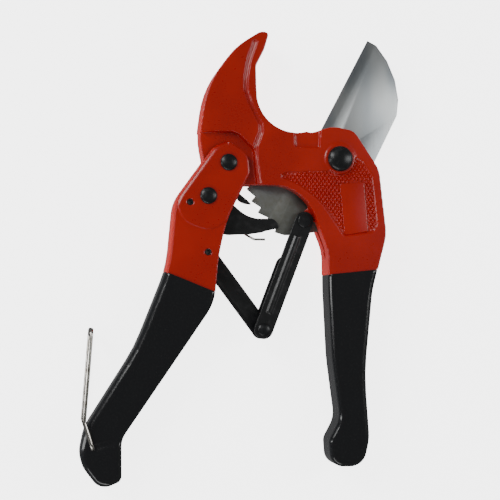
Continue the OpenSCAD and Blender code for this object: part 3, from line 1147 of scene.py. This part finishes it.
@dataclass
class Blade:
    """The swinging blade: ground edge in the jaw, ratchet teeth on the tail."""

    grind_width: float = 4.2
    edge_share: float = 0.18
    tip: Point = (41.2, 31.2)
    heel: Point = (12.6, -23.4)

    def blade(self) -> bpy.types.Object:
        """Makes the plate and thins it towards its cutting edge."""
        obj = copy_of("blade", "blade_plate")
        tip = Vector(self.tip) * MM
        heel = Vector(self.heel) * MM
        along = (tip - heel).normalized()
        across = Vector((along.y, -along.x))
        width = self.grind_width * MM
        place = (heel + across * width).to_3d()
        with edited(obj) as bm:
            everything = bm.verts[:] + bm.edges[:] + bm.faces[:]
            bmesh.ops.bisect_plane(bm, geom=everything, plane_co=place, plane_no=across.to_3d())
            for vertex in bm.verts:
                flat = vertex.co.to_2d() - heel
                off = flat.dot(across)
                if off < width - TOUCH and flat.dot(along) > -TOUCH:
                    vertex.co.z *= self.edge_share + (1 - self.edge_share) * max(0.0, off / width)
        return bevelled(obj, 0.12, 2)

    def build(self, finishes: Finishes) -> None:
        """Builds and dresses the blade."""
        hand_over(self.blade(), "blade", "blade_steel", finishes, "blade")


@dataclass
class Fasteners:
    """The bolt, its nut and washers, the rivets, the rolled pins and the bail's bush."""

    face: float = 9.6
    bolt_shank: float = 3.98
    bolt_head: float = 6.7
    bolt_rise: float = 3.4
    rivet_shank: float = 2.6
    rivet_head: float = 4.4
    rivet_rise: float = 1.8

    def bolt(self) -> bpy.types.Object:
        """Makes the blade bolt, with a rolled rim and a shallow dimple in its dome."""
        head = dome(self.bolt_head, self.face + 0.5, self.face + self.bolt_rise, 10)[:-1]
        profile = [
            (0.0, -self.face - 3.6), (self.bolt_shank - 0.5, -self.face - 3.6),
            (self.bolt_shank, -self.face - 3.1), (self.bolt_shank, self.face),
            (self.bolt_head - 0.3, self.face), (self.bolt_head, self.face + 0.25), *head,
            (0.0, self.face + self.bolt_rise - 0.04),
        ]
        return turned("blade_bolt_domed", BLADE_PIVOT, profile, 64)

    def rivet(self, name: str, centre: Point, seat: float) -> bpy.types.Object:
        """Makes a rivet with a domed head on each face.

        Args:
            name: The piece's name.
            centre: Where its axis stands.
            seat: The height of the faces under its heads.

        Returns:
            The rivet.
        """
        head = dome(self.rivet_head, seat + 0.3, seat + self.rivet_rise, 8)[:-1]
        crater = [(0.9, seat + self.rivet_rise - 0.02), (0.0, seat + self.rivet_rise - 0.12)]
        front = [(self.rivet_shank, seat), (self.rivet_head - 0.15, seat), *head, *crater]
        back = [(r, -z) for r, z in reversed(front)]
        return turned(name, centre, [*back, *front], 48)

    def flat_rivet(self, name: str, centre: Point, rings: Sequence[tuple[float, float]]) -> bpy.types.Object:
        """Makes a rivet from its own profile."""
        return turned(name, centre, [(0.0, rings[0][1]), *rings, (0.0, rings[-1][1])], 48)

    def sleeve(
        self, name: str, centre: Point, inner: float, outer: float, end: float, chamfer: Point
    ) -> bpy.types.Object:
        """Makes a tube with chamfered ends, for a rolled pin or a bush.

        Args:
            name: The piece's name.
            centre: Where its axis stands.
            inner: The bore's radius.
            outer: The tube's radius.
            end: Half its length.
            chamfer: The chamfer's size across and along the axis.

        Returns:
            The tube.
        """
        side = outer - chamfer[0]
        edge = end - chamfer[1]
        profile = [
            (inner, -end), (side, -end), (outer, -edge), (outer, edge), (side, end), (inner, end),
            (inner, -end),
        ]
        return turned(name, centre, profile, 32)

    def build(self, finishes: Finishes) -> None:
        """Builds and dresses every fastener."""
        stay_rings = [(2.4, 1.4), (2.4, 4.9), (3.3, 4.9), (3.5, 5.0), (3.5, 5.4), (3.2, 5.6), (1.2, 5.52)]
        knee_rings = [(2.0, -5.6), (2.2, -5.4), (2.2, 4.8), (3.2, 4.8), *dome(3.3, 4.85, 5.8, 6)[:-1]]
        pin = (1.1, 1.7, 9.0, (0.2, 0.3))
        bush = (1.08, 2.4, 7.4, (0.15, 0.15))
        rows = (
            ("blade_bolt", "body", "black_oxide", self.bolt()),
            ("blade_nut", "body", "black_oxide",
             bevelled(copy_of("blade_nut", "blade_nut_flanged"), 0.3)),
            ("blade_washers", "body", "bright_zinc",
             bevelled(copy_of("blade_washers", "blade_washer_pair"), 0.05, 2)),
            ("lever_rivet", "body", "black_oxide",
             self.rivet("lever_rivet_domed", LEVER_PIVOT, self.face + 0.1)),
            ("pawl_rivet", "lever", "black_oxide", self.rivet("pawl_rivet_domed", PAWL_PIVOT, self.face)),
            ("stay_rivet", "body", "black_oxide",
             self.flat_rivet("stay_rivet_flush", STAY_PIVOT, stay_rings)),
            ("knee_rivet", "stay_link", "black_oxide",
             self.flat_rivet("knee_rivet_domed", KNEE, knee_rings)),
            ("spring_anchor_pin", "lever", "pin_steel",
             self.sleeve("spring_anchor_rolled_pin", SPRING_ANCHOR, *pin)),
            ("link_pin", "lever", "pin_steel", self.sleeve("link_rolled_pin", LINK_PIVOT, *pin)),
            ("bail_bush", "lever", "bright_zinc", self.sleeve("bail_bush_ring", BAIL_PIVOT, *bush)),
        )
        for node, body, slot, obj in rows:
            hand_over(obj, body, slot, finishes, node)


@dataclass
class Links:
    """The two folding links and the two pawls."""

    def pressed(self, node: str, name: str, grain: float, passes: int) -> bpy.types.Object:
        """Makes a pressed or forged piece with soft edges from its CAD node."""
        return thinned(softened(copy_of(node, name), grain, passes))

    def build(self, finishes: Finishes) -> None:
        """Builds and dresses the links and the pawls; each rides on the body of its own name."""
        rows = (
            ("stay_link", self.pressed("stay_link", "stay_link_pressed", 0.28, 5)),
            ("lever_link", bevelled(copy_of("lever_link", "lever_link_plate"), 0.25)),
            ("drive_pawl", self.pressed("drive_pawl", "drive_pawl_forged", 0.26, 4)),
            ("holding_pawl", bevelled(copy_of("holding_pawl", "holding_pawl_plate"), 0.2)),
        )
        for node, obj in rows:
            hand_over(obj, node, "black_steel", finishes, node)


@dataclass
class Wires:
    """The pawl's spring, the lever's return spring and the locking bail."""

    spring_radius: float = 0.6
    bail_radius: float = 1.0
    pitch: float = 1.26

    def pawl_spring(self) -> list[Vector]:
        """Gives the path of the spring that lifts the drive pawl."""
        height = -4.9
        x, y = PAWL_PIVOT
        coil = helix(PAWL_PIVOT, 4.2, 90, 2.5, height, self.pitch)
        foot = [
            coil[-1] + Vector((0.8, -0.6, 0)), Vector((-25.2, -74.6, -1.7)), Vector((-21, -77.2, 0.2)),
            Vector((-15.2, -77.2, 0.2)),
        ]
        lead = [Vector((x - 9.4, y + 3.4, height)), Vector((x - 3, y + 4.1, height))]
        return [*lead, *coil, *bent(foot, 2)]

    def return_spring(self) -> list[Vector]:
        """Gives the path of the spring that opens the lever."""
        height = 3.6
        x, y = LINK_PIVOT
        coil = helix(LINK_PIVOT, 3.4, 180, 1.25, height, self.pitch)
        lead = [Vector((x - 8.4, y - 22, height)), Vector((x - 4.4, y - 5, height))]
        tail = [coil[-1] + Vector((-6, 0.4, 0.1)), coil[-1] + Vector((-9, 1, 0.1))]
        return [*lead, *coil, *tail]

    def bail(self) -> list[Vector]:
        """Gives the path of the bail: two legs, joined by a round bow at the top."""
        leg = 11.2
        x, y = BAIL_PIVOT
        front = [
            Vector((x, y, 4)), Vector((x, y, leg)), Vector((-109.9, -171.2, leg)),
            Vector((-106.4, -124.6, leg)),
        ]
        back = [Vector((p.x, p.y, -p.z)) for p in reversed(front)]
        return bent([*front, *back], 3.4)

    def build(self, finishes: Finishes, sweeping: GeometryTree) -> None:
        """Sweeps and dresses the three wires."""
        rows = (
            ("pawl_spring", "drive_pawl", "spring_wire", self.pawl_spring(), self.spring_radius),
            ("return_spring", "lever", "spring_wire", self.return_spring(), self.spring_radius),
            ("lock_bail", "lock_bail", "bail_wire", self.bail(), self.bail_radius),
        )
        for node, body, slot, path, radius in rows:
            obj = points_object(f"{node}_wire", path, True)
            sweeping.run(obj, {"Wire radius": radius, "Finish": finishes.made[slot]})
            smooth_by_angle(obj, 60)
            hand_over(obj, body, slot, finishes, node)


# ---------------------------------------------------------------- studio


@dataclass
class Studio:
    """The pale floor, the soft lights and the camera."""

    target: Point3 = (-24.7, -83.3, 9.0)
    distance: float = 650.0
    lean_x: float = -9.5
    lean_y: float = -3.0
    field_width: float = 260.5
    floor_glow: float = 4.0

    def camera(self) -> None:
        """Sets the camera above the tool, leaning a little to the lever's side."""
        a = math.radians(self.lean_x)
        e = math.radians(self.lean_y)
        back = Vector((math.sin(a) * math.cos(e), math.sin(e), math.cos(a) * math.cos(e))).normalized()
        right = Vector((0, 1, 0)).cross(back).normalized()
        up = back.cross(right)
        data = bpy.data.cameras.new("camera")
        data.angle = 2 * math.atan(self.field_width / 2 / self.distance)
        cam = bpy.data.objects.new("camera", data)
        place = (Vector(self.target) + back * self.distance) * MM
        turn = Matrix((right, up, back)).transposed().to_4x4()
        cam.matrix_world = Matrix.Translation(place) @ turn
        bpy.context.scene.collection.objects.link(cam)
        bpy.context.scene.camera = cam

    def light(self, name: str, place: Point3, size: tuple[float, float], power: float) -> None:
        """Adds a soft rectangular light that faces the tool.

        Args:
            name: The light's name.
            place: Where it stands, in metres.
            size: Its width and height, in metres.
            power: Its power, in watts.
        """
        data = bpy.data.lights.new(name, "AREA")
        data.shape = "RECTANGLE"
        data.size, data.size_y = size
        data.energy = power
        obj = bpy.data.objects.new(name, data)
        centre = Vector(self.target) * MM
        obj.location = place
        obj.rotation_euler = (centre - Vector(place)).to_track_quat("-Z", "Y").to_euler()
        bpy.context.scene.collection.objects.link(obj)

    def floor(self, low: float) -> None:
        """Lays the pale floor under the tool.

        Args:
            low: The tool's lowest height, in metres.
        """
        bm = bmesh.new()
        bmesh.ops.create_grid(bm, x_segments=1, y_segments=1, size=3.0)
        bmesh.ops.translate(bm, vec=(0, 0, low), verts=bm.verts)
        mesh = bpy.data.meshes.new("floor")
        bm.to_mesh(mesh)
        bm.free()
        obj = bpy.data.objects.new("floor", mesh)
        shader = Shader("floor_paper")
        fibres = shader.noise(4.0, 3.0)
        shader.feed("Base Color", shader.mix(fibres, (0.93, 0.93, 0.93), (0.96, 0.96, 0.96)))
        shader.set(Roughness=0.9, Emission_Color=(1.0, 1.0, 1.0, 1.0), Emission_Strength=self.floor_glow)
        mesh.materials.append(shader.material)
        # Glossy side walls seen at a glancing angle would mirror the bright floor as white strips.
        obj.visible_glossy = False
        bpy.context.scene.collection.objects.link(obj)
        obj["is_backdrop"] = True

    def build(self, low: float) -> None:
        """Builds the whole studio."""
        self.camera()
        self.floor(low)
        self.light("key", (-0.75, 0.5, 0.75), (0.35, 0.8), 8.0)
        self.light("fill", (0.8, 0.05, 0.6), (0.3, 0.8), 4.0)
        self.light("low_edge", (-0.35, -0.9, 0.45), (0.8, 0.25), 3.0)
        self.light("left_strip", (-0.9, -0.1, 0.3), (0.12, 0.9), 2.0)
        world = bpy.data.worlds.new("studio")
        world.use_nodes = True
        background = world.node_tree.nodes["Background"]
        background.inputs["Color"].default_value = (1.0, 1.0, 1.0, 1.0)
        background.inputs["Strength"].default_value = 0.16
        bpy.context.scene.world = world


def box_numbers() -> list[list[float]]:
    """Gives the shown object's lowest and highest corners as plain numbers."""
    return [list(corner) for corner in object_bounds()]


def main() -> None:
    """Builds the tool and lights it."""
    logging.basicConfig(level=logging.INFO, format="%(message)s")
    cad_box = box_numbers()
    finishes = Finishes().build()
    Body().build(finishes, knurl_tree())
    Lever().build(finishes)
    Blade().build(finishes)
    Fasteners().build(finishes)
    Links().build(finishes)
    Wires().build(finishes, wire_tree())
    Studio().build(cad_box[0][2])


if __name__ == "__main__":
    main()
